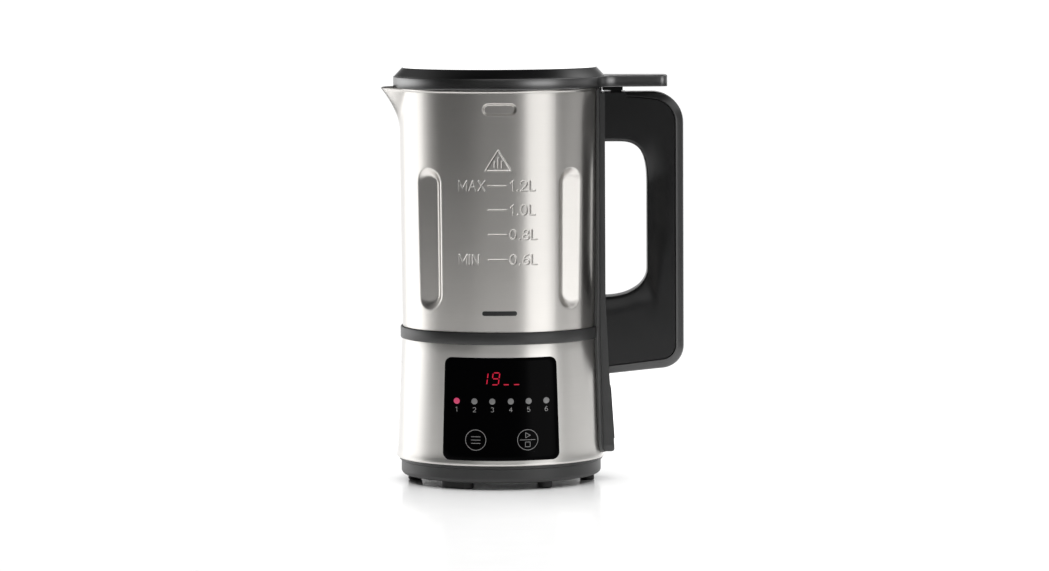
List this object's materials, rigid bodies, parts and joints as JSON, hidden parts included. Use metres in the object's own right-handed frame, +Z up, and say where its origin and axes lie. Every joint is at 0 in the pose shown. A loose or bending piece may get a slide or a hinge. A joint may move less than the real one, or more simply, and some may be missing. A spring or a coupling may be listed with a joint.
{
  "type": "soup maker",
  "caption": "Tall heated steel blender jug with pouring spout, touch panel, plug-in lid and side handle, for cooking and blending soup or soy milk.",
  "frame": {"origin": "middle of the whole object's footprint, on the surface it stands on", "axes": "+Z up; -Y is the front with the touch panel; +X is the handle side, -X the spout"},
  "size_m": [0.1962, 0.1376, 0.2686],
  "materials": {
    "brushed_steel": "fine circumferential brushing",
    "dark_trim": "satin moulded",
    "panel_black": "polished",
    "handle_charcoal": "fine satin texture",
    "lid_black": "satin gloss",
    "socket_black": "satin",
    "silicone": "matt translucent grey",
    "foot_rubber": "matt",
    "gasket_foam": "matt foam",
    "inner_plastic": "moulded",
    "blade_steel": "polished and ground",
    "zinc_screw": "zinc plated",
    "plate_aluminium": "cast",
    "heater_sheath": "dull oxidised",
    "board_green": "solder mask",
    "electronics_black": "moulded",
    "display_lens": "smoked",
    "lamp": "diffusing",
    "motor_can": "zinc plated",
    "lamination": "stacked sheet",
    "bronze": "sintered",
    "copper": "turned",
    "contact_brass": "plated",
    "carbon": "graphite",
    "fan_plastic": "moulded"
  },
  "bodies": {
    "root": {"base_chassis": "inner_plastic", "base_skirt": "brushed_steel", "bearing_bottom": "bronze", "bearing_top": "bronze", "board_parts": "electronics_black", "bottom_screws": "zinc_screw", "carbon_brushes": "carbon", "connector_socket": "socket_black", "control_board": "board_green", "decor_band": "dark_trim", "display_module": "display_lens", "feet": "foot_rubber", "handle_grip": "handle_charcoal", "handle_nuts": "zinc_screw", "handle_spine": "handle_charcoal", "handle_studs": "zinc_screw", "heater_plate": "plate_aluminium", "heating_element": "heater_sheath", "indicator_leds": "lamp", "inlet_body": "socket_black", "inlet_pins": "contact_brass", "jug_gasket": "silicone", "jug_vessel": "brushed_steel", "motor_bracket": "motor_can", "motor_end_cap": "inner_plastic", "motor_housing": "motor_can", "motor_screws": "zinc_screw", "motor_stator": "lamination", "panel_gasket": "gasket_foam", "plinth": "dark_trim", "power_board": "board_green", "rail_cover": "handle_charcoal", "rail_flange": "handle_charcoal", "shaft_seal": "silicone", "socket_contacts": "contact_brass", "temperature_probe": "heater_sheath", "thermal_cutout": "heater_sheath", "touch_panel": "panel_black", "touch_springs": "contact_brass"},
    "drive": {"blade_shaft": "blade_steel", "blade_lower": "blade_steel", "blade_upper": "blade_steel", "blade_nut": "blade_steel", "motor_rotor": "lamination", "commutator": "copper", "cooling_fan": "fan_plastic"},
    "lid": {"lid_cover": "lid_black", "lid_inner": "inner_plastic", "lid_seal": "silicone", "lid_screws": "zinc_screw", "overflow_probe": "blade_steel", "lid_connector": "socket_black", "lid_contacts": "contact_brass"}
  },
  "joints": [
    {"name": "blade_spin", "type": "hinge", "parent": "root", "child": "drive", "pos_m": [-0.02085, 0, 0.104], "axis": [0, 0, 1], "continuous": true},
    {"name": "lid_lift", "type": "slide", "parent": "root", "child": "lid", "axis": [0, 0, 1], "range_m": [0, 0.09]}
  ]
}
